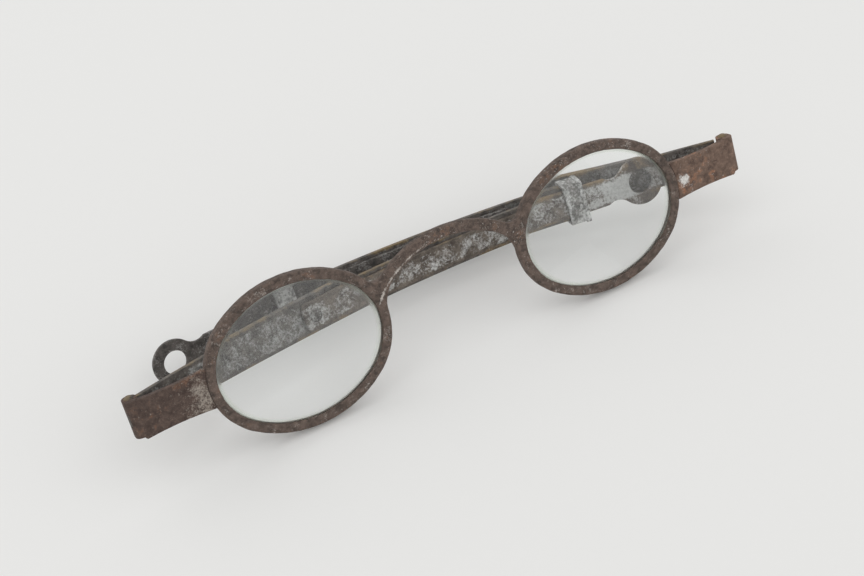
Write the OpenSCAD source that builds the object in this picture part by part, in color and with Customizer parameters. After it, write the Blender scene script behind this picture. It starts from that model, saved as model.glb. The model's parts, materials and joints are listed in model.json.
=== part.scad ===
// Extending spectacles of forged iron: two oval glasses in grooved rims, a C bridge, rolled hinge eyes
// on flat end pieces, and temples that draw out, each with a flat ring at its tip. They stand as they
// were laid down: the front leans back on its two rims, the temples are folded behind it, the right one
// over the left, and the object rests on the band of the right temple.
// Left and right are as seen from the front. Sizes are in millimetres.

/* [Rims] */
// Half the width of a rim, over its outer edge
rim_a = 16; // [15.5:0.1:17.5]
// Half the height of a rim, over its outer edge
rim_b = 13.1; // [12.6:0.1:14]
// From the middle of the nose to the centre of each glass
lens_pitch = 28.3; // [27.9:0.1:30.5]
// Width of the rim wire, seen from the front
rim_wire = 1.7; // [1.4:0.1:2.2]
// Depth of the rim wire, front to back
rim_depth = 1.9; // [1.7:0.1:2.4]
// How deep the groove is that holds the glass
groove_depth = 0.5; // [0.3:0.05:0.7]
// Width of the groove that holds the glass
groove_w = 0.9; // [0.7:0.05:1]

/* [Glasses] */
// Thickness of a glass at its middle
lens_t = 2.2; // [1.8:0.1:2.4]
// Radius of both curved faces of a glass
lens_curve_r = 190; // [150:5:300]
// Play between the glass and its rim
lens_fit = 0.05; // [0.02:0.01:0.1]

/* [Bridge] */
// Height of the top of the bridge over the middle of the glasses
bridge_rise = 10; // [9:0.1:12]
// Width of the bridge band, seen from the front
bridge_w = 2; // [1.6:0.1:2.6]
// Depth of the bridge band, front to back
bridge_t = 1.5; // [1.2:0.1:1.7]
// Rounding of the bridge band's edges
bridge_round = 0.35; // [0.2:0.05:0.5]
// Where the bridge meets the rim, as an angle round the rim's narrow end
bridge_seat = 18; // [14:1:24]
// Radius of the fillet over each foot of the bridge
foot_over_r = 1.3; // [0.8:0.1:2]
// Radius of the fillet under each foot of the bridge
foot_under_r = 1.1; // [0.8:0.1:1.6]

/* [End pieces] */
// From the rim's outer edge to the hinge axis
end_reach = 11.7; // [11:0.1:14]
// Height of the end plate at its two ends
end_h = 6.8; // [6.4:0.1:7.6]
// Thickness of the end plate
end_t = 1; // [0.8:0.1:1.2]
// How much the plate's edge draws in at its waist
end_waist = 0.3; // [0.1:0.05:0.5]
// Radius of the plate's rounded lower corner, under the eye
end_corner = 0.7; // [0.4:0.1:1.2]
// How far the plate's face stands back from the rim's face
end_back = 0.2; // [0.1:0.05:0.4]
// Height of the hinge's middle over the middle of the glasses
joint_rise = 0.5; // [0:0.1:1]
// The hinge eye stops this far above the plate's lower edge
eye_step = 0.5; // [0.3:0.05:0.8]
// Width of the slit where the rolled eye closes on the plate
slit_w = 0.25; // [0.15:0.05:0.35]

/* [Hinges] */
// Outer radius of the hinge knuckles
barrel_r = 1.2; // [1.1:0.05:1.5]
// Radius of the hinge pin
pin_r = 0.5; // [0.4:0.05:0.6]
// Radial play of the pin in its knuckles
pin_fit = 0.05; // [0.03:0.01:0.08]
// Distance of the hinge axis behind the front face of the rims
hinge_back = 2.15; // [2.1:0.05:2.6]
// Height of the temple's own knuckle, the middle one
mid_knuckle_h = 2.2; // [1.8:0.1:2.6]
// Gap between the knuckles
knuckle_gap = 0.1; // [0.06:0.01:0.2]
// Radius of the pin's peened heads
pin_head_r = 0.85; // [0.7:0.05:1]
// Height of the pin's peened heads
pin_head_h = 0.35; // [0.2:0.05:0.5]

/* [Temples] */
// Radius on which each temple is bowed
bow_r = 165; // [155:1:180]
// Length of the left temple's fixed arm, along its bow
left_arm_len = 88; // [84:1:92]
// Length of the right temple's fixed arm, along its bow
right_arm_len = 84; // [82:1:90]
// Height of the arm's strip
arm_h = 5.6; // [5:0.1:6]
// Thickness of the arm's strip
arm_t = 0.85; // [0.7:0.05:1]
// The strip starts this far from the hinge axis, along the bow
arm_start = 1.25; // [1.2:0.05:2]
// Angle at which the left temple is folded in, over its chord
fold_left = 3; // [3:0.1:3.4]
// Angle at which the right temple lies over the left one, over its chord
fold_right = 8.2; // [8.2:0.1:9.5]

/* [Sliders] */
// From the hinge to the middle of the ring with the slider pushed home
ring_home = 98; // [96:1:102]
// From the slider's inner end to the middle of its ring
slider_len = 65; // [60:1:68]
// How far the left slider stands drawn out
left_out = 0; // [0:0.5:2]
// How far the right slider stands drawn out
right_out = 6; // [2:0.5:7]
// Height of the slider's strip
slider_h = 4.4; // [4:0.1:4.8]
// Thickness of the slider's strip
slider_t = 0.75; // [0.6:0.05:0.95]
// Gap between the slider and the arm that it runs on
slide_gap = 0.08; // [0.06:0.01:0.12]
// Radius of the slider's rounded inner corners
slider_corner = 1; // [0.6:0.1:1.6]
// Outer radius of the ring
ring_r = 3.95; // [3.6:0.05:4.3]
// Radius of the ring's hole
ring_eye_r = 2.05; // [1.8:0.05:2.3]
// Half the height of the neck before the ring
neck_half = 1.8; // [1.4:0.1:1.9]
// Radius of the fillets between the neck and the ring
neck_fillet = 2.5; // [2:0.1:3.2]

/* [Bands] */
// Length of the band that holds the slider on the arm
band_len = 3.2; // [2.6:0.1:4]
// Wall of the band
band_wall = 0.5; // [0.4:0.05:0.6]
// Rounding of the band's long outer edges
band_round = 0.4; // [0.2:0.05:0.45]
// Length of the thicker lip at the band's outer end
lip_len = 0.7; // [0.4:0.1:1]
// How far the lip stands out
lip_out = 0.2; // [0.1:0.05:0.3]

/* [Stop rivets] */
// From the slider's inner end to its rivet
rivet_inset = 2; // [1.8:0.1:3]
// Radius of the rivet's shank
rivet_r = 0.55; // [0.4:0.05:0.6]
// Radius of the rivet's head on the slider
rivet_head_r = 1.1; // [0.9:0.05:1.3]
// Height of the rivet's head
rivet_head_h = 0.35; // [0.2:0.05:0.45]
// Radius of the rivet's hammered tail
rivet_tail_r = 0.85; // [0.8:0.05:1]
// Height of the rivet's hammered tail
rivet_tail_h = 0.25; // [0.15:0.05:0.35]
// Play of the rivet in the slider and the washer
rivet_fit = 0.02; // [0.01:0.01:0.04]
// Play of the rivet in the arm's slot, each side
slot_fit = 0.1; // [0.06:0.01:0.2]
// Outer radius of the washer
washer_r = 1.4; // [1.2:0.05:1.6]
// Thickness of the washer
washer_t = 0.3; // [0.2:0.05:0.4]
// Gap between the washer and the arm
washer_gap = 0.05; // [0.03:0.01:0.1]
// What stays between the washer and the band with the slider drawn right out
end_play = 0.3; // [0.2:0.05:0.5]

/* [Hidden] */
$fn = 96;
LEFT = -1;
RIGHT = 1;
iron = "#5b3a26";
worn_iron = "#6e4a30";
tinned = "#9a958c";
bare = "#8a7a66";
glass = [0.80, 0.90, 0.84, 0.35];
// Roundness of the wide, shallow curves
fine = 1440;
// How far a cutter runs past what it cuts
past = 1;
// Rings that make up the curve of a glass
lens_rings = 6;
// Straight stretch of the slider's strip before its neck
neck_flat = 0.4;
// How far the knuckle's tongue laps onto the arm's strip
tongue_lap = 0.4;
// How far the arch runs on into the rims before they are cut from it, in degrees
arch_sink = 4;
// A rivet's head is this much narrower on its outer face
head_taper = 0.7;

// The rim's oval has four centres, two for its ends and two for its long sides. They lie on
// triangles of 3, 4 and 5, so the arcs run into each other without a step.
oval_unit = (rim_a - rim_b) / 2;
end_off = 3 * oval_unit;
side_off = 4 * oval_unit;
rim_end_r = rim_a - end_off;
side_r = rim_b + side_off;

// The bridge is an arc through its two seats on the rims and its top
seat_x = lens_pitch - end_off - rim_end_r * cos(bridge_seat);
seat_y = rim_end_r * sin(bridge_seat);
top_mid = bridge_rise - bridge_w / 2;
bridge_r = (pow(seat_x, 2) + pow(top_mid - seat_y, 2)) / (2 * (top_mid - seat_y));
bridge_cy = top_mid - bridge_r;
bridge_half = asin(seat_x / bridge_r);
rim_end_c = [lens_pitch - end_off, 0];
bridge_c = [0, bridge_cy];

// The hinge
hinge_x = lens_pitch + rim_a + end_reach;
bore_r = pin_r + pin_fit;
eye_top = end_h / 2;
eye_low = -end_h / 2 + eye_step;
// The arm's outer face runs level with the barrel
arm_off = barrel_r - arm_t / 2;

// The temples, along their bows
slide_r = bow_r - arm_t / 2 - slide_gap - slider_t / 2;
neck_run = sqrt(pow(ring_r + neck_fillet, 2) - pow(neck_half + neck_fillet, 2));
shoulder = sqrt(pow(neck_fillet, 2) - pow(neck_fillet + neck_half - slider_h / 2, 2));
neck_len = neck_run + shoulder + neck_flat;
band_in = slide_r - slider_t / 2 - slide_gap;
band_out = bow_r + arm_t / 2;
function out_of(side) = side == LEFT ? left_out : right_out;
function arm_len(side) = side == LEFT ? left_arm_len : right_arm_len;
function fold(side) = side == LEFT ? fold_left : fold_right;
function ring_at(side) = ring_home + out_of(side);
function bow_deg(s) = s / bow_r * 180 / PI;
function bow_half(side) = bow_deg(ring_at(side)) / 2;
function bow_c(side) = [bow_r * sin(bow_half(side)), arm_off - bow_r * cos(bow_half(side)), 0];
rivet_home = ring_home - slider_len + rivet_inset;
function rivet_at(side) = rivet_home + out_of(side);
function slot_end(side) = arm_len(side) - band_len - washer_r - end_play;
slot_half = rivet_r + slot_fit;

// How far back a point of the right temple lies: s along the bow, r from the bow's centre
function back_at(side, s, r) = let(a = fold(side) + bow_half(side) - bow_deg(s), c = bow_c(side))
    hinge_back + c[0] * sin(fold(side)) + c[1] * cos(fold(side)) + r * cos(a);

// The lean: the rims' lower back edges and the lip of the right band touch the ground
crest_s = right_arm_len - lip_len;
band_back = back_at(RIGHT, crest_s, band_out + band_wall);
band_half = arm_h / 2 + band_wall + lip_out;
lean_a = rim_b - (band_half - joint_rise - band_round);
lean_b = rim_depth - (band_back - band_round);
lean = atan2(lean_b, lean_a) + acos(band_round / norm([lean_a, lean_b]));
rest_lift = rim_b * cos(lean) + rim_depth * sin(lean);
front_y = -rim_b * sin(lean);
back_y = (band_back - band_round) * cos(lean)
    + (joint_rise + band_half - band_round) * sin(lean) + band_round;
mid_y = (front_y + back_y) / 2;

// One of the two points where two circles meet
function meet(c1, r1, c2, r2) = let(d = norm(c2 - c1), u = (c2 - c1) / d,
    a = (d * d + r1 * r1 - r2 * r2) / (2 * d), h = sqrt(r1 * r1 - a * a))
    c1 + a * u + h * [-u[1], u[0]];
function toward(c, p, r) = c + (p - c) * r / norm(p - c);

module at_rest() translate([0, -mid_y, rest_lift]) rotate([-lean, 0, 0]) children();
module on_side(side) mirror([side == LEFT ? 0 : 1, 0, 0]) children();
// Lays a drawing face on: x across, y up, and z = 0 is the front face of the rims
module face_on() rotate([90, 0, 0]) children();
module in_temple(side) at_rest() on_side(side)
    translate([-hinge_x, hinge_back, joint_rise]) rotate([0, 0, fold(side)]) children();
// Stands on the temple's bow: x along it, y away from its centre
module on_bow(side, s, r) translate(bow_c(side))
    rotate([0, 0, bow_half(side) - bow_deg(s)]) translate([0, r, 0]) children();
// Sweeps a drawing along the bow; its x is the distance from the bow's centre
module along_bow(side, s0, s1) translate(bow_c(side))
    rotate([0, 0, 90 + bow_half(side) - bow_deg(s1)])
        rotate_extrude(angle = bow_deg(s1 - s0), $fn = fine) children();

module round_rect(w, h, r) {
    translate([r, 0]) square([w - 2 * r, h]);
    translate([0, r]) square([w, h - 2 * r]);
    for (x = [r, w - r], y = [r, h - r]) translate([x, y]) circle(r, $fn = 24);
}

// The oval's area, drawn in by k from the rim's outer edge
module oval_area(k) {
    jx = end_off + (rim_end_r - k) * 3 / 5;
    intersection() {
        translate([0, -side_off]) circle(side_r - k, $fn = 360);
        translate([0, side_off]) circle(side_r - k, $fn = 360);
        square([2 * jx, 4 * rim_b], center = true);
    }
    for (m = [0, 1]) mirror([m, 0]) intersection() {
        translate([end_off, 0]) circle(rim_end_r - k, $fn = 360);
        translate([jx, -2 * rim_b]) square([rim_a, 4 * rim_b]);
    }
}

// The rim's wire, with the groove that holds the glass
module rim(side) color(iron) at_rest() translate([side * lens_pitch, rim_depth / 2, 0])
    face_on() difference() {
        linear_extrude(height = rim_depth, center = true) difference() {
            oval_area(0);
            oval_area(rim_wire);
        }
        linear_extrude(height = groove_w, center = true) oval_area(rim_wire - groove_depth);
    }

// A point on the curved face of a glass, on ring i, on the front or the back
function lens_point(i, face) = let(r = rim_a * i / lens_rings)
    [r, face * (lens_t / 2 - lens_curve_r + sqrt(pow(lens_curve_r, 2) - r * r))];

// A biconvex glass whose thinner edge sits in the rim's groove
module lens(side) color(glass) at_rest() translate([side * lens_pitch, rim_depth / 2, 0])
    face_on() {
        intersection() {
            linear_extrude(height = 2 * lens_t, center = true) oval_area(rim_wire + lens_fit);
            rotate_extrude() polygon(concat(
                [for (i = [0:lens_rings]) lens_point(i, 1)],
                [for (i = [lens_rings:-1:0]) lens_point(i, -1)]));
        }
        linear_extrude(height = groove_w - 2 * lens_fit, center = true)
            oval_area(rim_wire - groove_depth + lens_fit);
    }

// The fillet between one edge of the bridge and the rim
module bridge_foot(edge_r, fillet_c, fillet_r) {
    on_edge = toward(bridge_c, fillet_c, edge_r);
    on_rim = toward(rim_end_c, fillet_c, rim_end_r);
    corner = meet(bridge_c, edge_r, rim_end_c, rim_end_r);
    difference() {
        polygon([on_edge, toward(bridge_c, on_edge, bridge_r), corner,
            toward(rim_end_c, on_rim, rim_end_r - rim_wire), on_rim]);
        translate(fillet_c) circle(fillet_r, $fn = 96);
    }
}

module bridge() {
    over_r = bridge_r + bridge_w / 2;
    under_r = bridge_r - bridge_w / 2;
    half = bridge_half + arch_sink;
    color(iron) at_rest() translate([0, rim_depth / 2, 0]) face_on() difference() {
        union() {
            translate([0, bridge_cy, 0]) rotate([0, 0, 90 - half])
                rotate_extrude(angle = 2 * half, $fn = 240)
                    translate([under_r, -bridge_t / 2])
                        round_rect(bridge_w, bridge_t, bridge_round);
            for (m = [0, 1]) mirror([m, 0, 0])
                linear_extrude(height = bridge_t - 2 * bridge_round, center = true) {
                    bridge_foot(over_r, meet(bridge_c, over_r + foot_over_r,
                        rim_end_c, rim_end_r + foot_over_r), foot_over_r);
                    bridge_foot(under_r, meet(bridge_c, under_r - foot_under_r,
                        rim_end_c, rim_end_r + foot_under_r), foot_under_r);
                }
        }
        for (s = [-1, 1]) translate([s * lens_pitch, 0, 0])
            linear_extrude(height = 2 * rim_depth, center = true) oval_area(0);
    }
}

// The outline of the end plate, seen face on, before the rim is cut from it
module end_outline() {
    run = hinge_x - lens_pitch - rim_a;
    waist_r = (pow(run / 2, 2) + pow(end_waist, 2)) / (2 * end_waist);
    difference() {
        translate([-hinge_x, -end_h / 2]) square([run + rim_wire * 2, end_h]);
        for (m = [0, 1]) mirror([0, m])
            translate([-hinge_x + run / 2, end_h / 2 - end_waist + waist_r])
                circle(waist_r, $fn = 720);
        translate([-hinge_x, -end_h / 2]) difference() {
            translate([-past, -past]) square([end_corner + past, end_corner + past]);
            translate([end_corner, end_corner]) circle(end_corner);
        }
    }
}

// A flat plate that joins the rim and rolls back at its outer end into the hinge's eye
module end_piece(side) color(worn_iron) at_rest() on_side(side)
    translate([0, 0, joint_rise]) difference() {
        union() {
            translate([0, end_back + end_t, 0]) face_on()
                linear_extrude(height = end_t) end_outline();
            translate([-hinge_x, 0, eye_low]) linear_extrude(height = eye_top - eye_low) {
                translate([0, hinge_back]) circle(barrel_r);
                translate([0, end_back + barrel_r]) circle(barrel_r);
                translate([-barrel_r, end_back + barrel_r])
                    square([2 * barrel_r, hinge_back - end_back - barrel_r]);
            }
        }
        // the rim's seat
        translate([-lens_pitch, rim_depth / 2, -joint_rise]) face_on()
            linear_extrude(height = 2 * rim_depth, center = true) oval_area(0);
        // the pin's bore
        translate([-hinge_x, hinge_back, -end_h]) cylinder(r = bore_r, h = 2 * end_h);
        // room for the temple's knuckle, open to the outside
        translate([-hinge_x, hinge_back, -mid_knuckle_h / 2 - knuckle_gap]) {
            cylinder(r = barrel_r + knuckle_gap, h = mid_knuckle_h + 2 * knuckle_gap);
            translate([-2 * barrel_r, -barrel_r - knuckle_gap, 0])
                cube([2 * barrel_r, 2 * barrel_r + 2 * knuckle_gap,
                    mid_knuckle_h + 2 * knuckle_gap]);
            translate([-barrel_r, end_back + end_t - hinge_back, 0])
                cube([2 * barrel_r + knuckle_gap, 2 * barrel_r, mid_knuckle_h + 2 * knuckle_gap]);
        }
        // the slit where the rolled end closes on the plate
        translate([-hinge_x + pin_r, end_back + end_t, -end_h])
            cube([barrel_r, slit_w, 2 * end_h]);
    }

module hinge_pin(side) color(bare) at_rest() on_side(side)
    translate([-hinge_x, hinge_back, joint_rise]) {
        translate([0, 0, eye_low - pin_head_h / 2])
            cylinder(r = pin_r, h = eye_top - eye_low + pin_head_h);
        translate([0, 0, eye_top]) cylinder(r1 = pin_head_r, r2 = pin_r, h = pin_head_h);
        translate([0, 0, eye_low - pin_head_h])
            cylinder(r1 = pin_r, r2 = pin_head_r, h = pin_head_h);
    }

// A radial peg on the bow: its middle at s and r
module peg(side, s, r, radius, len) on_bow(side, s, r)
    rotate([90, 0, 0]) cylinder(r = radius, h = len, center = true);

// The fixed strip of a temple, with its knuckle and the long slot for the slider's rivet
module arm(side) color(worn_iron) in_temple(side) difference() {
    union() {
        along_bow(side, arm_start, arm_len(side))
            translate([bow_r - arm_t / 2, -arm_h / 2]) square([arm_t, arm_h]);
        translate([0, 0, -mid_knuckle_h / 2]) cylinder(r = barrel_r, h = mid_knuckle_h);
        translate([0, arm_off, 0]) rotate([0, 0, bow_half(side)])
            translate([0, -arm_t / 2, -mid_knuckle_h / 2])
                cube([arm_start + tongue_lap, arm_t, mid_knuckle_h]);
    }
    translate([0, 0, -arm_h]) cylinder(r = bore_r, h = 2 * arm_h);
    along_bow(side, rivet_home, slot_end(side))
        translate([bow_r - arm_t, -slot_half]) square([2 * arm_t, 2 * slot_half]);
    for (s = [rivet_home, slot_end(side)]) peg(side, s, bow_r, slot_half, 2 * arm_t);
}

// The band round the arm's end that the slider runs through, with a lip at its outer end
module band(side) color(iron) in_temple(side) difference() {
    union() {
        along_bow(side, arm_len(side) - band_len, arm_len(side))
            translate([band_in - band_wall, -arm_h / 2 - band_wall])
                round_rect(band_out - band_in + 2 * band_wall, arm_h + 2 * band_wall, band_round);
        along_bow(side, arm_len(side) - lip_len, arm_len(side))
            translate([band_in - band_wall - lip_out, -arm_h / 2 - band_wall - lip_out])
                round_rect(band_out - band_in + 2 * band_wall + lip_out,
                    arm_h + 2 * band_wall + 2 * lip_out, band_round);
    }
    along_bow(side, arm_len(side) - band_len - past, arm_len(side) + past)
        translate([band_in, -arm_h / 2]) square([band_out - band_in, arm_h]);
}

// The end of the slider, seen from its side: a filleted neck and a flat ring
module ring_outline() {
    fillet_x = neck_len - neck_run;
    fillet_y = neck_half + neck_fillet;
    touch = toward([neck_len, 0], [fillet_x, fillet_y], ring_r);
    difference() {
        union() {
            translate([neck_len, 0]) circle(ring_r, $fn = 180);
            polygon([[0, -slider_h / 2], [fillet_x, -slider_h / 2], [touch[0], -touch[1]],
                [neck_len, 0], touch, [fillet_x, slider_h / 2], [0, slider_h / 2]]);
        }
        for (m = [-1, 1]) translate([fillet_x, m * fillet_y]) circle(neck_fillet, $fn = 180);
        translate([neck_len, 0]) circle(ring_eye_r, $fn = 120);
    }
}

// The strip that draws out, bowed as the arm is, with its flat ring
module slider(side) {
    inner = ring_at(side) - slider_len;
    color(tinned) in_temple(side) difference() {
        union() {
            along_bow(side, inner, ring_at(side) - neck_len)
                translate([slide_r - slider_t / 2, -slider_h / 2]) square([slider_t, slider_h]);
            on_bow(side, ring_at(side) - neck_len, slide_r) rotate([90, 0, 0])
                linear_extrude(height = slider_t, center = true) ring_outline();
        }
        for (m = [0, 1]) mirror([0, 0, m]) on_bow(side, inner, slide_r) difference() {
            translate([-past, -slider_t, slider_h / 2 - slider_corner])
                cube([slider_corner + past, 2 * slider_t, slider_corner + past]);
            translate([slider_corner, 0, slider_h / 2 - slider_corner]) rotate([90, 0, 0])
                cylinder(r = slider_corner, h = 4 * slider_t, center = true);
        }
        peg(side, rivet_at(side), slide_r, rivet_r + rivet_fit, 2 * slider_t);
    }
}

// The rivet that rides in the slot: headed on the slider, hammered over the washer
module stop_rivet(side) {
    head_at = slide_r - slider_t / 2 - rivet_fit;
    tail_at = bow_r + arm_t / 2 + washer_gap + washer_t;
    color(bare) in_temple(side) on_bow(side, rivet_at(side), 0) rotate([-90, 0, 0]) {
        translate([0, 0, head_at - rivet_head_h / 2])
            cylinder(r = rivet_r, h = tail_at - head_at + (rivet_head_h + rivet_tail_h) / 2);
        translate([0, 0, head_at - rivet_head_h])
            cylinder(r1 = rivet_head_r * head_taper, r2 = rivet_head_r, h = rivet_head_h);
        translate([0, 0, tail_at])
            cylinder(r1 = rivet_tail_r, r2 = rivet_tail_r * head_taper, h = rivet_tail_h);
    }
}

module rivet_washer(side) color(bare) in_temple(side)
    on_bow(side, rivet_at(side), bow_r + arm_t / 2 + washer_gap) rotate([-90, 0, 0])
        difference() {
            cylinder(r = washer_r, h = washer_t);
            translate([0, 0, -past]) cylinder(r = rivet_r + rivet_fit, h = washer_t + 2 * past);
        }

rim(LEFT);  // left_rim
rim(RIGHT);  // right_rim
bridge();
end_piece(LEFT);  // left_end_piece
end_piece(RIGHT);  // right_end_piece
lens(LEFT);  // left_lens
lens(RIGHT);  // right_lens
hinge_pin(LEFT);  // left_hinge_pin
hinge_pin(RIGHT);  // right_hinge_pin
arm(LEFT);  // left_arm
arm(RIGHT);  // right_arm
band(LEFT);  // left_band
band(RIGHT);  // right_band
slider(LEFT);  // left_slider
slider(RIGHT);  // right_slider
stop_rivet(LEFT);  // left_stop_rivet
stop_rivet(RIGHT);  // right_stop_rivet
rivet_washer(LEFT);  // left_rivet_washer
rivet_washer(RIGHT);  // right_rivet_washer
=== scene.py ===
import json
import math
import bpy
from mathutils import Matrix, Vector


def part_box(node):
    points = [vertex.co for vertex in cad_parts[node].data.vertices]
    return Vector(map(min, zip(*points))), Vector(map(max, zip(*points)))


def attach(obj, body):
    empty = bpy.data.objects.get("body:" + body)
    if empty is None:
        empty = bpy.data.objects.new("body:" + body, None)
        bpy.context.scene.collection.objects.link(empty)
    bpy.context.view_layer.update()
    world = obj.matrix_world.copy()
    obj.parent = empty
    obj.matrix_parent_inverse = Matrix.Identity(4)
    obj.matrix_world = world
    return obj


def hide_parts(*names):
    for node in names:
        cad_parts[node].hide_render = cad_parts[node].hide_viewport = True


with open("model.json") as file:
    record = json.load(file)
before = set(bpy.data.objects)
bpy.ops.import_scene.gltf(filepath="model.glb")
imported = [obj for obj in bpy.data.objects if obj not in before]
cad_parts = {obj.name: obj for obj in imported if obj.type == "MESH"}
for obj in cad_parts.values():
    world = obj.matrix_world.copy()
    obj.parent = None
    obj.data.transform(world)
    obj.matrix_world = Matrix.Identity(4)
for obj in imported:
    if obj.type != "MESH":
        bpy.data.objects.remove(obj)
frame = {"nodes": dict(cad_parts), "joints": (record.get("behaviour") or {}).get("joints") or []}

print("spectacles: frame loaded")
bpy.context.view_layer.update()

# small helpers

copying = {
    "mergeWithin": 2e-6,
    "flatWithin": 2,          # degrees, between two triangles that become one face
    "squareWithin": 60,       # degrees, how far that face may be from square
    "dissolveWithin": 0.6,    # degrees
}


def deselectAll():
    if bpy.context.object and bpy.context.object.mode != "OBJECT":
        bpy.ops.object.mode_set(mode="OBJECT")
    bpy.ops.object.select_all(action="DESELECT")


def makeActive(piece):
    deselectAll()
    piece.select_set(True)
    bpy.context.view_layer.objects.active = piece


def selectWhole():
    bpy.ops.object.mode_set(mode="EDIT")
    bpy.ops.mesh.select_all(action="SELECT")


def keepPlace(piece):
    # the place goes into the mesh, and the object back to the origin
    makeActive(piece)
    bpy.ops.object.transform_apply(location=True, rotation=True, scale=True)


def workedCopy(nodeName, pieceName):
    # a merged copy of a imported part, which is then worked on like any mesh
    source = frame["nodes"][nodeName]
    piece = bpy.data.objects.new(pieceName, source.data.copy())
    piece.data.name = pieceName
    piece.data.materials.clear()
    bpy.context.scene.collection.objects.link(piece)
    makeActive(piece)
    selectWhole()
    bpy.ops.mesh.remove_doubles(threshold=copying["mergeWithin"])
    bpy.ops.mesh.tris_convert_to_quads(face_threshold=math.radians(copying["flatWithin"]),
                                       shape_threshold=math.radians(copying["squareWithin"]))
    bpy.ops.mesh.dissolve_limited(angle_limit=math.radians(copying["dissolveWithin"]))
    bpy.ops.mesh.normals_make_consistent(inside=False)
    bpy.ops.object.mode_set(mode="OBJECT")
    return piece


def roundEdges(piece, width, segments=2, angle=35, weighted=False):
    makeActive(piece)
    bevel = piece.modifiers.new("edges", "BEVEL")
    bevel.width = width
    bevel.segments = segments
    bevel.limit_method = "WEIGHT" if weighted else "ANGLE"
    bevel.angle_limit = math.radians(angle)
    bpy.ops.object.modifier_apply(modifier=bevel.name)
    bpy.ops.object.shade_smooth_by_angle(angle=math.radians(angle))


def dress(piece, body, material, nodeName):
    piece.data.materials.clear()
    piece.data.materials.append(material)
    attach(piece, body)
    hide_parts(nodeName)


# camera, floor and light

view = {
    "place": (-0.082921, -0.161271, 0.208106),
    "turn": (41.6708, 2.2072, -29.411),   # degrees, XYZ
    "focal": 66.667,
    "sensor": 36,
    "near": 0.01,
    "far": 20,
}

studio = {
    "floorTone": (0.82, 0.82, 0.81),
    "floorRough": 0.9,
    "floorSize": 6,
    "skyTone": (1.0, 0.998, 0.992),
    "skyStrength": 0.79,
    "lamps": {
        "window": {"place": (-0.55, 0.75, 1.10), "size": 1.6, "watts": 4.6},
        "fill": {"place": (0.9, -0.7, 0.9), "size": 1.4, "watts": 2.8},
    },
}


def makeCamera():
    data = bpy.data.cameras.new("camera")
    data.lens = view["focal"]
    data.sensor_width = view["sensor"]
    data.clip_start = view["near"]
    data.clip_end = view["far"]
    camera = bpy.data.objects.new("camera", data)
    bpy.context.scene.collection.objects.link(camera)
    camera.location = view["place"]
    camera.rotation_euler = [math.radians(angle) for angle in view["turn"]]
    bpy.context.scene.camera = camera


def makeFloor():
    deselectAll()
    bpy.ops.mesh.primitive_plane_add(size=studio["floorSize"], location=(0, 0, 0))
    floor = bpy.context.active_object
    floor.name = "floor"
    paper = bpy.data.materials.new("pale paper")
    paper.use_nodes = True
    shader = paper.node_tree.nodes["Principled BSDF"]
    shader.inputs["Base Color"].default_value = (*studio["floorTone"], 1)
    shader.inputs["Roughness"].default_value = studio["floorRough"]
    shader.inputs["Specular IOR Level"].default_value = 0
    floor.data.materials.append(paper)


def makeLight():
    world = bpy.data.worlds.new("studio")
    bpy.context.scene.world = world
    world.use_nodes = True
    sky = world.node_tree.nodes["Background"]
    sky.inputs["Color"].default_value = (*studio["skyTone"], 1)
    sky.inputs["Strength"].default_value = studio["skyStrength"]
    for name, lamp in studio["lamps"].items():
        data = bpy.data.lights.new(name, "AREA")
        data.size = lamp["size"]
        data.energy = lamp["watts"]
        light = bpy.data.objects.new(name, data)
        bpy.context.scene.collection.objects.link(light)
        light.location = lamp["place"]
        light.rotation_euler = (-Vector(lamp["place"])).to_track_quat("-Z", "Y").to_euler()


makeCamera()
makeFloor()
makeLight()
bpy.context.scene.view_settings.view_transform = "Standard"
print("spectacles: camera, floor and light")

# the leaning front: its own upward and forward directions, its middle and the hinges' level

leftHinge = next(joint for joint in frame["joints"] if joint["name"] == "left_hinge")
frontUp = Vector(leftHinge["axis"]).normalized()
frontward = Vector((0, -frontUp.z, frontUp.y))
frontTurn = math.atan2(frontUp.z, frontUp.y)           # stands a flat mesh up in the front's plane
hingeLevel = frontUp.dot(Vector(leftHinge["pos_m"]))
frontMiddle = sum(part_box("left_lens"), Vector()) / 2   # both glasses are level with it
frontMiddle.x = 0

# nodes that the finishes are made of


def newGroup(name, inputs, outputs):
    group = bpy.data.node_groups.new(name, "ShaderNodeTree")
    for label, kind, value in inputs:
        socket = group.interface.new_socket(label, in_out="INPUT", socket_type=kind)
        socket.default_value = value
    for label, kind in outputs:
        group.interface.new_socket(label, in_out="OUTPUT", socket_type=kind)
    start = group.nodes.new("NodeGroupInput")
    end = group.nodes.new("NodeGroupOutput")
    return group, start.outputs, end.inputs


def addNoise(tree, where, pattern):
    scale, detail, roughness, distortion = pattern
    noise = tree.nodes.new("ShaderNodeTexNoise")
    noise.inputs["Scale"].default_value = scale
    noise.inputs["Detail"].default_value = detail
    noise.inputs["Roughness"].default_value = roughness
    noise.inputs["Distortion"].default_value = distortion
    tree.links.new(where, noise.inputs["Vector"])
    return noise.outputs["Fac"]


def addRamp(tree, value, low, high):
    # low and high are each a place on the ramp and its grey
    ramp = tree.nodes.new("ShaderNodeValToRGB")
    for element, (place, grey) in zip(ramp.color_ramp.elements, (low, high)):
        element.position = place
        element.color = (grey, grey, grey, 1)
    tree.links.new(value, ramp.inputs["Fac"])
    return ramp.outputs["Color"]


def addMix(tree, amount, first, second, blend="MIX"):
    mix = tree.nodes.new("ShaderNodeMix")
    mix.data_type = "RGBA"
    mix.blend_type = blend
    for place, value in ((0, amount), (6, first), (7, second)):   # factor, A and B of the colour mix
        if isinstance(value, bpy.types.NodeSocket):
            tree.links.new(value, mix.inputs[place])
        else:
            mix.inputs[place].default_value = value if place == 0 else (*value, 1)
    return mix.outputs[2]   # the colour


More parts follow.
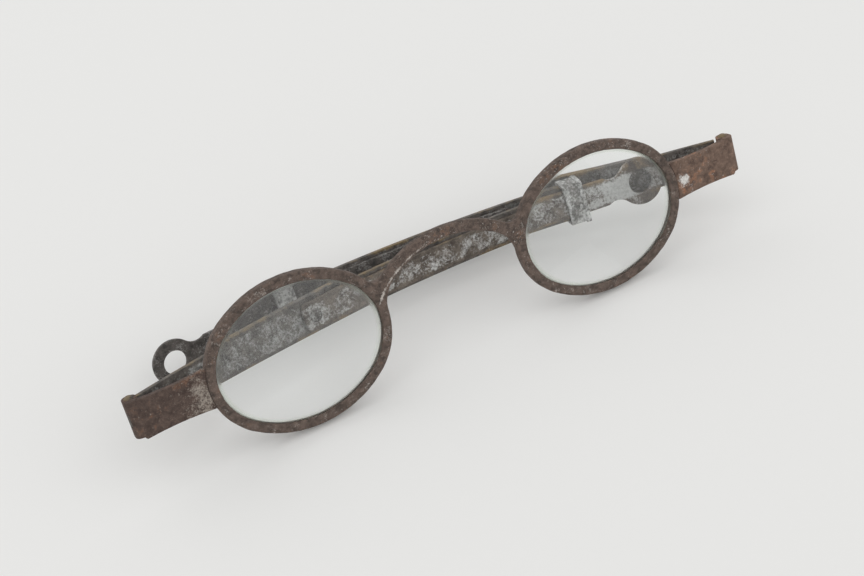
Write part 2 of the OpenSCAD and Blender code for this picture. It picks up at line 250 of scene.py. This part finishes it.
def addMath(tree, kind, first, second=None, clamp=False):
    node = tree.nodes.new("ShaderNodeMath")
    node.operation = kind
    node.use_clamp = clamp
    for place, value in enumerate((first, second)):
        if isinstance(value, bpy.types.NodeSocket):
            tree.links.new(value, node.inputs[place])
        elif value is not None:
            node.inputs[place].default_value = value
    return node.outputs[0]


def plus(tree, first, second, clamp=False):
    return addMath(tree, "ADD", first, second, clamp)


def minus(tree, first, second, clamp=False):
    return addMath(tree, "SUBTRACT", first, second, clamp)


def times(tree, first, second, clamp=False):
    return addMath(tree, "MULTIPLY", first, second, clamp)


def over(tree, first, second, clamp=False):
    return addMath(tree, "DIVIDE", first, second, clamp)


def sizeOf(tree, value):
    return addMath(tree, "ABSOLUTE", value)


def addVector(tree, kind, where, other):
    node = tree.nodes.new("ShaderNodeVectorMath")
    node.operation = kind
    tree.links.new(where, node.inputs[0])
    node.inputs[1].default_value = other
    return node.outputs["Value"]


def addAcross(tree, where):
    # the distance along the front, less than 0 on the left
    split = tree.nodes.new("ShaderNodeSeparateXYZ")
    tree.links.new(where, split.inputs[0])
    return split.outputs[0]


# one layered skin for old iron: brown oxide, orange bloom, bare tin, rubbed specks and pits

ironPattern = {
    "broad": (130, 5, 0.62, 0.4),     # each noise: scale, detail, roughness and distortion
    "middle": (520, 8, 0.68, 0.3),
    "fine": (2300, 6, 0.7, 0),
    "patches": (240, 7, 0.72, 0.8),
    "grit": (1500, 4, 0.75, 0),
    "darkest": (0.36, 0),             # where the oxide turns from dark to brown
    "brownest": (0.62, 1),
    "bloomBroad": 0.62,
    "bloomMiddle": 0.38,
    "bloomStart": 0.78,               # bloom grows where its noise is over this
    "bloomSpread": 0.32,              # how far the Bloom input brings that down
    "bloomOnRust": 0.16,              # and the Rust input
    "bloomSharp": 9,
    "tinPatches": 0.6,
    "tinFine": 0.4,
    "tinStart": 0.80,                 # tin is bare where its noise is over this
    "tinSpread": 0.42,                # how far the Tin share input brings that down
    "tinWhereWearAndHighlight": 0.16,             # and the input for wear and painted highlights
    "tinOnRust": 0.18,                # how far rust brings it up again
    "tinSharp": 9,
    "rubbedFrom": 0.44,
    "rubbedSharp": 6,
    "speckFrom": 0.60,
    "speckSharp": 16,
    "shadeLow": (0.30, 0.72),         # fine light and dark over all of it
    "shadeHigh": (0.62, 1.12),
    "rough": 0.74,
    "tinGloss": 0.34,
    "bloomDull": 0.12,
    "metal": 0.25,
    "tinMetal": 0.55,
    "heightMiddle": 0.6,
    "heightFine": 0.4,
    "tinHollow": 0.15,
    "bumpDepth": 0.00012,
}


def makeIronSkin():
    look = ironPattern
    inputs = [
        ("Vector", "NodeSocketVector", (0, 0, 0)),
        ("Dark", "NodeSocketColor", (0.045, 0.024, 0.015, 1)),
        ("Brown", "NodeSocketColor", (0.13, 0.066, 0.038, 1)),
        ("Orange", "NodeSocketColor", (0.30, 0.12, 0.045, 1)),
        ("Tin", "NodeSocketColor", (0.42, 0.40, 0.37, 1)),
        ("Bloom", "NodeSocketFloat", 0.5),
        ("Tin share", "NodeSocketFloat", 0.5),
        ("Grain", "NodeSocketFloat", 1),
        ("Wear and highlight", "NodeSocketFloat", 0),
        ("Rust", "NodeSocketFloat", 0),
        ("Specks", "NodeSocketFloat", 0),
    ]
    outputs = [
        ("Color", "NodeSocketColor"),
        ("Roughness", "NodeSocketFloat"),
        ("Metal", "NodeSocketFloat"),
        ("Height", "NodeSocketFloat"),
    ]
    tree, given, result = newGroup("iron skin", inputs, outputs)
    grain = tree.nodes.new("ShaderNodeVectorMath")
    grain.operation = "SCALE"
    tree.links.new(given["Vector"], grain.inputs[0])
    tree.links.new(given["Grain"], grain.inputs["Scale"])
    where = grain.outputs[0]
    broad = addNoise(tree, where, look["broad"])
    middle = addNoise(tree, where, look["middle"])
    fine = addNoise(tree, where, look["fine"])
    patches = addNoise(tree, where, look["patches"])
    grit = addNoise(tree, where, look["grit"])

    brown = addRamp(tree, middle, look["darkest"], look["brownest"])
    oxide = addMix(tree, brown, given["Dark"], given["Brown"])

    # orange bloom, where the broad and the middle noise are both high
    bloomField = plus(tree, times(tree, broad, look["bloomBroad"]), times(tree, middle, look["bloomMiddle"]))
    bloomEdge = minus(tree, look["bloomStart"], times(tree, given["Bloom"], look["bloomSpread"]))
    bloomEdge = minus(tree, bloomEdge, times(tree, given["Rust"], look["bloomOnRust"]))
    bloomMask = times(tree, minus(tree, bloomField, bloomEdge), look["bloomSharp"], clamp=True)
    bloomed = addMix(tree, bloomMask, oxide, given["Orange"])

    # bare tin in patches, and fine specks where the metal is rubbed
    tinField = plus(tree, times(tree, patches, look["tinPatches"]), times(tree, fine, look["tinFine"]))
    tinEdge = minus(tree, look["tinStart"], times(tree, given["Tin share"], look["tinSpread"]))
    tinEdge = minus(tree, tinEdge, times(tree, given["Wear and highlight"], look["tinWhereWearAndHighlight"]))
    tinEdge = plus(tree, tinEdge, times(tree, given["Rust"], look["tinOnRust"]))
    tinMask = times(tree, minus(tree, tinField, tinEdge), look["tinSharp"], clamp=True)
    rubbed = times(tree, minus(tree, broad, look["rubbedFrom"]), look["rubbedSharp"], clamp=True)
    specks = times(tree, minus(tree, grit, look["speckFrom"]), look["speckSharp"], clamp=True)
    speckMask = times(tree, times(tree, specks, rubbed), given["Specks"])
    tinned = addMix(tree, addMath(tree, "MAXIMUM", tinMask, speckMask), bloomed, given["Tin"])
    shade = addRamp(tree, fine, look["shadeLow"], look["shadeHigh"])
    tree.links.new(addMix(tree, 1, tinned, shade, "MULTIPLY"), result["Color"])

    rough = minus(tree, look["rough"], times(tree, tinMask, look["tinGloss"]))
    tree.links.new(plus(tree, rough, times(tree, bloomMask, look["bloomDull"])), result["Roughness"])
    metal = plus(tree, times(tree, tinMask, look["tinMetal"]), look["metal"])
    tree.links.new(metal, result["Metal"])
    height = plus(tree, times(tree, middle, look["heightMiddle"]), times(tree, fine, look["heightFine"]))
    tree.links.new(minus(tree, height, times(tree, tinMask, look["tinHollow"])), result["Height"])
    return tree


ironSkin = makeIronSkin()

# where a finish is worn or rusted, and where highlights are painted in as bright bare tin


def addTinBand(tree, where, band):
    # more of the tin colour at a distance from the middle of the front, left and right alike
    out = minus(tree, sizeOf(tree, addAcross(tree, where)), band["place"])
    near = over(tree, sizeOf(tree, out), band["reach"])
    return minus(tree, 1, near, clamp=True)


def addSpotWearAndHighlight(tree, where, spotWearAndHighlight):
    # one spot of bright tin around a point on the surface, set from the middle of the front: partly worn
    # bare, partly a painted highlight
    place = frontMiddle + Vector((spotWearAndHighlight["across"], 0, 0)) + spotWearAndHighlight["ahead"] * frontward
    near = over(tree, addVector(tree, "DISTANCE", where, place), spotWearAndHighlight["reach"])
    return times(tree, minus(tree, 1, near, clamp=True), spotWearAndHighlight["strength"])


def addRidgeWearAndHighlight(tree, where, ridgeWearAndHighlight):
    # bare tin along the foremost ridge of the wire, partly wear and partly a painted highlight where the
    # ridge catches the light, measured forwards from the middle of the front
    forward = addVector(tree, "DOT_PRODUCT", where, frontward)
    ahead = minus(tree, forward, frontward.dot(frontMiddle) + ridgeWearAndHighlight["start"])
    return times(tree, over(tree, ahead, ridgeWearAndHighlight["reach"], clamp=True), ridgeWearAndHighlight["strength"])


def addLineWearAndHighlight(tree, where, lineWearAndHighlight):
    # a line of bare tin along the lower ridge of the bridge's left half, which is an arc: partly rubbed wear
    # and partly a painted highlight where that ridge catches the light
    across = addAcross(tree, where)
    up = addVector(tree, "DOT_PRODUCT", where, frontUp)
    up = minus(tree, up, frontUp.dot(frontMiddle) - lineWearAndHighlight["arcDrop"])
    fromArcMiddle = addMath(tree, "SQRT", plus(tree, times(tree, across, across), times(tree, up, up)))
    off = sizeOf(tree, minus(tree, fromArcMiddle, lineWearAndHighlight["arcRound"]))
    onLine = minus(tree, 1, over(tree, off, lineWearAndHighlight["halfWidth"]), clamp=True)
    left = times(tree, across, -1)
    begun = over(tree, minus(tree, left, lineWearAndHighlight["start"]), lineWearAndHighlight["fadeIn"], clamp=True)
    notEnded = over(tree, minus(tree, lineWearAndHighlight["end"], left), lineWearAndHighlight["fadeOut"], clamp=True)
    return times(tree, onLine, times(tree, begun, notEnded))


def addEdgeRust(tree, where, strip):
    # rust along the upper and lower edges of a strip, measured up the leaning front
    up = addVector(tree, "DOT_PRODUCT", where, frontUp)
    off = sizeOf(tree, minus(tree, up, hingeLevel))
    return over(tree, minus(tree, off, strip["halfHeight"] - strip["reach"]), strip["reach"], clamp=True)


wearAndHighlightMakers = {"band": addTinBand, "spotWearAndHighlight": addSpotWearAndHighlight, "ridgeWearAndHighlight": addRidgeWearAndHighlight, "lineWearAndHighlight": addLineWearAndHighlight}


def makeIron(name, settings):
    material = bpy.data.materials.new(name)
    material.use_nodes = True
    tree = material.node_tree
    shader = tree.nodes["Principled BSDF"]
    where = tree.nodes.new("ShaderNodeTexCoord").outputs["Object"]
    skin = tree.nodes.new("ShaderNodeGroup")
    skin.node_tree = ironSkin
    tree.links.new(where, skin.inputs["Vector"])
    for label in ("Dark", "Brown", "Orange", "Tin"):
        skin.inputs[label].default_value = (*settings[label], 1)
    for label in ("Bloom", "Tin share", "Grain", "Specks"):
        skin.inputs[label].default_value = settings[label]
    # these masks mark real wear and painted highlights alike, both as bare tin
    wearAndHighlightMasks = [wearAndHighlightMakers[kind](tree, where, settings[kind]) for kind in wearAndHighlightMakers if kind in settings]
    if wearAndHighlightMasks:
        wearAndHighlightMask = wearAndHighlightMasks[0] if len(wearAndHighlightMasks) == 1 else plus(tree, *wearAndHighlightMasks)
        tree.links.new(wearAndHighlightMask, skin.inputs["Wear and highlight"])
    if "strip" in settings:
        tree.links.new(addEdgeRust(tree, where, settings["strip"]), skin.inputs["Rust"])
    tree.links.new(skin.outputs["Color"], shader.inputs["Base Color"])
    tree.links.new(skin.outputs["Roughness"], shader.inputs["Roughness"])
    tree.links.new(skin.outputs["Metal"], shader.inputs["Metallic"])
    bump = tree.nodes.new("ShaderNodeBump")
    bump.inputs["Strength"].default_value = settings["bump"]
    bump.inputs["Distance"].default_value = ironPattern["bumpDepth"]
    tree.links.new(skin.outputs["Height"], bump.inputs["Height"])
    tree.links.new(bump.outputs["Normal"], shader.inputs["Normal"])
    return material


rimIronAndHighlight = makeIron("rim iron and highlight", {
    "Dark": (0.060, 0.044, 0.036), "Brown": (0.165, 0.120, 0.098), "Orange": (0.200, 0.115, 0.076),
    "Tin": (0.50, 0.46, 0.42), "Bloom": 0.66, "Tin share": 0.44, "Grain": 1.9, "Specks": 1.0, "bump": 1.2,
    # bare tin on the wire's foremost face: partly wear, partly a painted highlight
    "ridgeWearAndHighlight": {"start": 0.00050, "reach": 0.00045, "strength": 0.35},
    # a bright tin line along the bridge's lower ridge, left half only: partly rubbed wear, partly a painted
    # highlight
    "lineWearAndHighlight": {"arcDrop": 0.00903, "arcRound": 0.01755, "halfWidth": 0.00040,
             "start": 0.001, "fadeIn": 0.005, "end": 0.0142, "fadeOut": 0.001},
})
leftPlateIronAndHighlight = makeIron("left plate iron and highlight", {
    "Dark": (0.055, 0.034, 0.027), "Brown": (0.120, 0.082, 0.066), "Orange": (0.200, 0.100, 0.060),
    "Tin": (0.33, 0.29, 0.25), "Bloom": 0.74, "Tin share": 0.46, "Grain": 1.5, "Specks": 0.7, "bump": 1.3,
    # the band by the rim: bare tin, partly wear and partly a painted highlight where the plate bends from
    # the rim
    "band": {"place": 0.0458, "reach": 0.0045},
})
rightPlateIronAndHighlight = makeIron("right plate iron and highlight", {
    "Dark": (0.105, 0.066, 0.050), "Brown": (0.225, 0.150, 0.112), "Orange": (0.350, 0.170, 0.095),
    "Tin": (0.70, 0.68, 0.65), "Bloom": 0.80, "Tin share": 0.36, "Grain": 1.5, "Specks": 0.6, "bump": 1.2,
    # the spot by the rim, in the pale Tin colour: bare tin, partly wear and partly a painted highlight where
    # the plate bends into the rim
    "spotWearAndHighlight": {"across": 0.0458, "ahead": 0.0009, "reach": 0.0019, "strength": 2},
})
armIron = makeIron("arm iron", {
    "Dark": (0.062, 0.055, 0.050), "Brown": (0.175, 0.158, 0.142), "Orange": (0.225, 0.168, 0.098),
    "Tin": (0.36, 0.36, 0.35), "Bloom": 0.46, "Tin share": 0.76, "Grain": 1.2, "Specks": 0.6, "bump": 0.8,
    "strip": {"halfHeight": 0.0028, "reach": 0.0007},
})
ringIron = makeIron("ring iron", {
    "Dark": (0.048, 0.043, 0.040), "Brown": (0.140, 0.125, 0.114), "Orange": (0.14, 0.112, 0.090),
    "Tin": (0.34, 0.33, 0.32), "Bloom": 0.30, "Tin share": 0.66, "Grain": 1.4, "Specks": 0.8, "bump": 0.8,
})
sliderTin = makeIron("slider tin", {
    "Dark": (0.075, 0.060, 0.050), "Brown": (0.200, 0.170, 0.142), "Orange": (0.240, 0.175, 0.105),
    "Tin": (0.50, 0.50, 0.49), "Bloom": 0.45, "Tin share": 0.77, "Grain": 1.1, "Specks": 0.6, "bump": 0.7,
    "strip": {"halfHeight": 0.0022, "reach": 0.0007},
    "band": {"place": 0.0375, "reach": 0.0075},
})
bandTin = makeIron("band tin", {
    "Dark": (0.085, 0.082, 0.078), "Brown": (0.240, 0.230, 0.215), "Orange": (0.195, 0.165, 0.125),
    "Tin": (0.58, 0.58, 0.57), "Bloom": 0.35, "Tin share": 0.84, "Grain": 1.1, "Specks": 0.7, "bump": 0.9,
})

glassTint = {
    "clear": (0.984, 0.998, 0.994),
    "edge": (0.80, 0.86, 0.76),
    "edgeFrom": 0.86,         # where the paler edge begins, as a share of the oval's area
    "rough": 0.02,
    "edgeRough": 0.45,
    "haze": (900, 6, 0.6, 0),
    "hazeMean": 0.5,
    "hazeShare": 0.06,        # how far the haze brings the roughness up and down
    "ior": 1.5,
    "pitch": 0.0283,          # from the middle of the front to the middle of a glass
    "halfWide": 0.01445,      # the opening of a rim
    "halfHigh": 0.01155,
}


def makeGlass():
    # clear glass, paler and rougher where its edge runs into the groove; it throws no shadow
    look = glassTint
    material = bpy.data.materials.new("old glass")
    material.use_nodes = True
    tree = material.node_tree
    shader = tree.nodes["Principled BSDF"]
    shader.inputs["IOR"].default_value = look["ior"]
    shader.inputs["Transmission Weight"].default_value = 1
    where = tree.nodes.new("ShaderNodeTexCoord").outputs["Object"]
    across = minus(tree, sizeOf(tree, addAcross(tree, where)), look["pitch"])
    across = over(tree, across, look["halfWide"])
    up = minus(tree, addVector(tree, "DOT_PRODUCT", where, frontUp), frontUp.dot(frontMiddle))
    up = over(tree, up, look["halfHigh"])
    oval = plus(tree, times(tree, across, across), times(tree, up, up))
    edge = over(tree, minus(tree, oval, look["edgeFrom"]), 1 - look["edgeFrom"], clamp=True)
    tree.links.new(addMix(tree, edge, look["clear"], look["edge"]), shader.inputs["Base Color"])
    haze = minus(tree, addNoise(tree, where, look["haze"]), look["hazeMean"])
    haze = times(tree, haze, look["hazeShare"])
    rough = plus(tree, times(tree, edge, look["edgeRough"]), look["rough"])
    tree.links.new(plus(tree, rough, haze, clamp=True), shader.inputs["Roughness"])
    path = tree.nodes.new("ShaderNodeLightPath")
    unseen = addMath(tree, "MAXIMUM", path.outputs["Is Shadow Ray"], path.outputs["Is Diffuse Ray"])
    tree.links.new(minus(tree, 1, unseen), shader.inputs["Alpha"])
    return material


oldGlass = makeGlass()
print("spectacles: finishes")

# the front: rims and bridge, forged and brazed into one run of wire, then parted at the bridge's feet

wire = {
    "halfWide": 0.016,        # half the size of a rim, over its outline
    "halfHigh": 0.0131,
    "halfDepth": 0.00095,
    "onFace": 0.95,           # a vertex this share of the depth out lies on a face
    "onOutline": 0.9,         # and one this share of the oval's area out lies on the outline
    "outerRound": 0.00072,
    "outerSteps": 4,
    "innerShare": 0.3,        # the edges beside the glass are rounded by this share
    "bridgeRound": 0.00030,
    "bridgeSteps": 2,
    "bridgeAngle": 50,
    "voxel": 0.00013,
    "softening": 12,          # passes of smoothing over the brazed joints
    "softenShare": 0.5,
    "wander": 0.00012,        # how far the forged surface strays
    "wanderSize": 0.0022,
    "footEnd": 0.0118,        # where the bridge's feet end, from the middle
    "cutSlack": 0.0000002,    # has to stay far under a voxel, or the cut opens
    "smoothUnder": 50,
}

braze = {
    "bridgeMiddle": Vector((0, -0.00903)),   # centres and radii of the arcs, as seen from the front
    "bridgeUnder": 0.01703,
    "bridgeOver": 0.01903,
    "rimMiddle": Vector((0.02395, 0)),
    "rimRound": 0.01165,
    "underSweep": 0.0058,                    # radius of the web under each foot
    "overSweep": 0.0019,                     # and over it
    "sunk": 0.0007,                          # how far a web runs into the metal
    "cornerSunk": 2,                         # times as far at its corner
    "depth": 0.00135,
    "cutterSides": 64,
    "cutterLong": 0.01,
    "seat": 18,                              # degrees up round the rim's narrow end
    "lump": (0.0014, 0.0019, 0.00092),       # half its width, height and depth
    "lumpSteps": (32, 16),                   # round it and from top to bottom
}


def standUp(piece, place):
    # turns a mesh made flat into the plane of the leaning front
    piece.rotation_euler = (frontTurn, 0, 0)
    piece.location = place
    keepPlace(piece)


def weighRimEdges(piece, centre):
    # full rounding for the outline, less beside the glass, none in the groove

    def placeOf(vertex):
        arm = vertex.co - centre
        outward = (arm.x / wire["halfWide"]) ** 2 + (arm.dot(frontUp) / wire["halfHigh"]) ** 2
        return outward, abs(arm.dot(frontward)) > wire["halfDepth"] * wire["onFace"]

    places = [placeOf(vertex) for vertex in piece.data.vertices]
    weights = piece.data.attributes.new("bevel_weight_edge", "FLOAT", "EDGE")
    for edge in piece.data.edges:
        (first, firstOnFace), (second, secondOnFace) = (places[i] for i in edge.vertices)
        if not (firstOnFace and secondOnFace):
            continue
        if min(first, second) > wire["onOutline"]:
            weights.data[edge.index].value = 1
        elif max(first, second) < wire["onOutline"]:
            weights.data[edge.index].value = wire["innerShare"]


def makeRim(side):
    low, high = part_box(side + "_rim")
    rim = workedCopy(side + "_rim", side + "_rim_start")
    weighRimEdges(rim, (low + high) / 2)
    roundEdges(rim, wire["outerRound"], wire["outerSteps"], weighted=True)
    return rim


def makeBridge():
    bridge = workedCopy("bridge", "bridge_start")
    roundEdges(bridge, wire["bridgeRound"], wire["bridgeSteps"], wire["bridgeAngle"])
    return bridge


def meetOfCircles(first, firstRound, second, secondRound):
    # the upper crossing of two circles
    between = second - first
    apart = between.length
    along = (apart ** 2 + firstRound ** 2 - secondRound ** 2) / (2 * apart)
    off = math.sqrt(firstRound ** 2 - along ** 2)
    middle = first + between * along / apart
    aside = Vector((-between.y, between.x)) / apart * off
    return max(middle + aside, middle - aside, key=lambda point: point.y)


def makeWeb(sign, edgeRound, sweep, outward):
    # a web of braze between one edge of the bridge and the rim, hollowed by a round cutter
    bridgeMiddle, rimMiddle, rimRound = braze["bridgeMiddle"], braze["rimMiddle"], braze["rimRound"]
    hollow = meetOfCircles(bridgeMiddle, edgeRound + outward * sweep, rimMiddle, rimRound + sweep)
    corner = meetOfCircles(bridgeMiddle, edgeRound, rimMiddle, rimRound)
    onBridge = bridgeMiddle + (hollow - bridgeMiddle).normalized() * edgeRound
    onRim = rimMiddle + (hollow - rimMiddle).normalized() * rimRound
    inward = (corner - hollow).normalized() * braze["sunk"]
    corners = [onBridge + inward, corner + inward * braze["cornerSunk"], onRim + inward, hollow]
    deselectAll()
    bpy.ops.mesh.primitive_circle_add(vertices=len(corners), fill_type="NGON")
    web = bpy.context.active_object
    for vertex, place in zip(web.data.vertices, corners):
        vertex.co = (sign * place.x, place.y, -braze["depth"] / 2)
    selectWhole()
    bpy.ops.mesh.extrude_region_move(TRANSFORM_OT_translate={"value": (0, 0, braze["depth"])})
    bpy.ops.mesh.select_all(action="SELECT")
    bpy.ops.mesh.normals_make_consistent(inside=False)
    deselectAll()
    bpy.ops.mesh.primitive_cylinder_add(vertices=braze["cutterSides"], radius=sweep,
                                        depth=braze["cutterLong"], location=(sign * hollow.x, hollow.y, 0))
    cutter = bpy.context.active_object
    makeActive(web)
    hollowing = web.modifiers.new("hollow", "BOOLEAN")
    hollowing.operation = "DIFFERENCE"
    hollowing.object = cutter
    bpy.ops.object.modifier_apply(modifier=hollowing.name)
    bpy.data.objects.remove(cutter)
    standUp(web, frontMiddle)
    return web


def makeLump(sign):
    # a lump of braze over the bridge's seat on the rim
    turn = math.radians(braze["seat"])
    seatX = braze["rimMiddle"].x - braze["rimRound"] * math.cos(turn)
    seatY = braze["rimRound"] * math.sin(turn)
    around, downwards = braze["lumpSteps"]
    deselectAll()
    bpy.ops.mesh.primitive_uv_sphere_add(segments=around, ring_count=downwards, radius=1)
    lump = bpy.context.active_object
    selectWhole()
    bpy.ops.transform.resize(value=braze["lump"])
    bpy.ops.object.mode_set(mode="OBJECT")
    lump.rotation_euler = (0, 0, -sign * turn)
    lump.location = (sign * seatX, seatY, 0)
    keepPlace(lump)
    standUp(lump, frontMiddle)
    return lump


def meltTogether(piece):
    makeActive(piece)
    remesh = piece.modifiers.new("melt", "REMESH")
    remesh.mode = "VOXEL"
    remesh.voxel_size = wire["voxel"]
    bpy.ops.object.modifier_apply(modifier=remesh.name)
    soften = piece.modifiers.new("soften", "SMOOTH")
    soften.factor = wire["softenShare"]
    soften.iterations = wire["softening"]
    bpy.ops.object.modifier_apply(modifier=soften.name)


def addWander(piece):
    dents = bpy.data.textures.new("wander", "CLOUDS")
    dents.noise_scale = wire["wanderSize"]
    wander = piece.modifiers.new("wander", "DISPLACE")
    wander.texture = dents
    wander.texture_coords = "LOCAL"
    wander.strength = wire["wander"]
    makeActive(piece)
    bpy.ops.object.modifier_apply(modifier=wander.name)


def keepBetween(source, name, lowX, highX):
    piece = source.copy()
    piece.data = source.data.copy()
    piece.name = name
    piece.data.name = name
    bpy.context.scene.collection.objects.link(piece)
    makeActive(piece)
    bpy.ops.object.mode_set(mode="EDIT")
    for cutX, upper in ((lowX, False), (highX, True)):
        if cutX is None:
            continue
        bpy.ops.mesh.select_all(action="SELECT")
        bpy.ops.mesh.bisect(plane_co=(cutX, 0, 0), plane_no=(1, 0, 0), use_fill=True,
                            clear_outer=upper, clear_inner=not upper, threshold=wire["cutSlack"])
    bpy.ops.object.mode_set(mode="OBJECT")
    bpy.ops.object.shade_smooth_by_angle(angle=math.radians(wire["smoothUnder"]))
    keepNormals = piece.modifiers.new("keep normals", "DATA_TRANSFER")   # so no seam shows at the cut
    keepNormals.object = source
    keepNormals.use_loop_data = True
    keepNormals.data_types_loops = {"CUSTOM_NORMAL"}
    keepNormals.loop_mapping = "POLYINTERP_NEAREST"
    bpy.ops.object.modifier_apply(modifier=keepNormals.name)
    return piece


def makeFront():
    parts = []
    for sign in (-1, 1):      # left, then right
        parts.append(makeLump(sign))
        parts.append(makeWeb(sign, braze["bridgeUnder"], braze["underSweep"], -1))
        parts.append(makeWeb(sign, braze["bridgeOver"], braze["overSweep"], 1))
    parts += [makeRim("left"), makeRim("right"), makeBridge()]
    deselectAll()
    for part in parts:
        part.select_set(True)
    bpy.context.view_layer.objects.active = parts[0]
    bpy.ops.object.join()
    blended = bpy.context.active_object
    meltTogether(blended)
    addWander(blended)
    bpy.ops.object.shade_smooth()
    foot = wire["footEnd"]
    stretches = {"left_rim": (None, -foot), "bridge": (-foot, foot), "right_rim": (foot, None)}
    for nodeName, (lowX, highX) in stretches.items():
        piece = keepBetween(blended, nodeName + "_worked", lowX, highX)
        dress(piece, "front", rimIronAndHighlight, nodeName)
    bpy.data.objects.remove(blended)


makeFront()
print("spectacles: rims and bridge")

# the glasses

glassShape = {
    "points": 128,
    "middle": 0.0022,         # thickness at the middle
    "edge": 0.00078,          # thickness of the edge in the rim's groove
    "lip": 0.00044,           # width of that edge
    "shoulder": 0.00013,      # step up from the edge to the curved face
    "shoulderRun": 0.0000325,
    "rings": 10,
    "stopShort": 0.94,        # how far the last ring is on its way to the middle
    "smoothUnder": 35,
}


def raiseFace(piece, face):
    # domes the front (1) or the back (-1) of a glass
    shape = glassShape
    rise = shape["middle"] / 2 - (shape["edge"] / 2 + shape["shoulder"])
    bpy.ops.mesh.select_all(action="DESELECT")
    bpy.ops.object.mode_set(mode="OBJECT")
    onThisSide = [polygon for polygon in piece.data.polygons if polygon.center.z * face > 0]
    max(onThisSide, key=lambda polygon: polygon.area).select = True
    bpy.ops.object.mode_set(mode="EDIT")
    bpy.ops.mesh.inset(thickness=shape["lip"], depth=0)
    bpy.ops.mesh.inset(thickness=shape["shoulderRun"], depth=shape["shoulder"])
    width, height = 1, 0
    for ring in range(1, shape["rings"] + 1):
        # each ring is extruded, drawn in to its share of the oval and raised to its curve
        share = 1 - shape["stopShort"] * ring / shape["rings"]
        level = rise * (1 - share ** 2)
        lift = {"value": (0, 0, face * (level - height))}
        bpy.ops.mesh.extrude_region_move(TRANSFORM_OT_translate=lift)
        bpy.ops.transform.resize(value=(share / width, share / width, 1), center_override=(0, 0, 0))
        width, height = share, level
    bpy.ops.mesh.poke()


def makeGlassPiece(side):
    shape = glassShape
    low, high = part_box(side + "_lens")
    halfWide = (high.x - low.x) / 2
    halfHigh = (high.z - low.z - shape["edge"] * frontUp.y) / (2 * frontUp.z)
    deselectAll()
    bpy.ops.mesh.primitive_circle_add(vertices=shape["points"], radius=1, fill_type="NGON")
    piece = bpy.context.active_object
    piece.name = side + "_lens_worked"
    piece.data.name = piece.name
    selectWhole()
    bpy.ops.transform.resize(value=(halfWide, halfHigh, 1))
    bpy.ops.transform.translate(value=(0, 0, -shape["edge"] / 2))
    bpy.ops.mesh.extrude_region_move(TRANSFORM_OT_translate={"value": (0, 0, shape["edge"])})
    bpy.ops.mesh.select_all(action="SELECT")
    bpy.ops.mesh.normals_make_consistent(inside=False)
    bpy.ops.mesh.select_mode(type="FACE")
    raiseFace(piece, 1)
    raiseFace(piece, -1)
    bpy.ops.object.mode_set(mode="OBJECT")
    standUp(piece, (low + high) / 2)
    bpy.ops.object.shade_smooth_by_angle(angle=math.radians(shape["smoothUnder"]))
    dress(piece, "front", oldGlass, side + "_lens")


makeGlassPiece("left")
makeGlassPiece("right")
print("spectacles: glasses")

# end plates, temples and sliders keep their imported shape, with their edges worn round

wornParts = {
    "end_piece": {"finish": leftPlateIronAndHighlight, "body": "front", "slot": "rusted_iron", "round": 0.00016},
    "hinge_pin": {"finish": armIron, "body": "front", "slot": "worn_iron", "round": 0.00008},
    "arm": {"finish": armIron, "body": "temple", "slot": "worn_iron", "round": 0.00012},
    "band": {"finish": bandTin, "body": "temple", "slot": "rusted_iron", "round": 0.00025},
    "slider": {"finish": sliderTin, "body": "slide", "slot": "mottled_tin", "round": 0.00012},
    "stop_rivet": {"finish": armIron, "body": "slide", "slot": "worn_iron", "round": 0.00008},
    "rivet_washer": {"finish": armIron, "body": "slide", "slot": "worn_iron", "round": 0.00006},
}

ownFinish = {"right_end_piece": rightPlateIronAndHighlight, "right_slider": ringIron}   # not as on the left

for side in ("left", "right"):
    for part, look in wornParts.items():
        nodeName = side + "_" + part
        body = "front" if look["body"] == "front" else side + "_" + look["body"]
        piece = workedCopy(nodeName, nodeName + "_worked")
        roundEdges(piece, look["round"])
        dress(piece, body, ownFinish.get(nodeName, look["finish"]), nodeName)
print("spectacles: plates, temples and sliders")
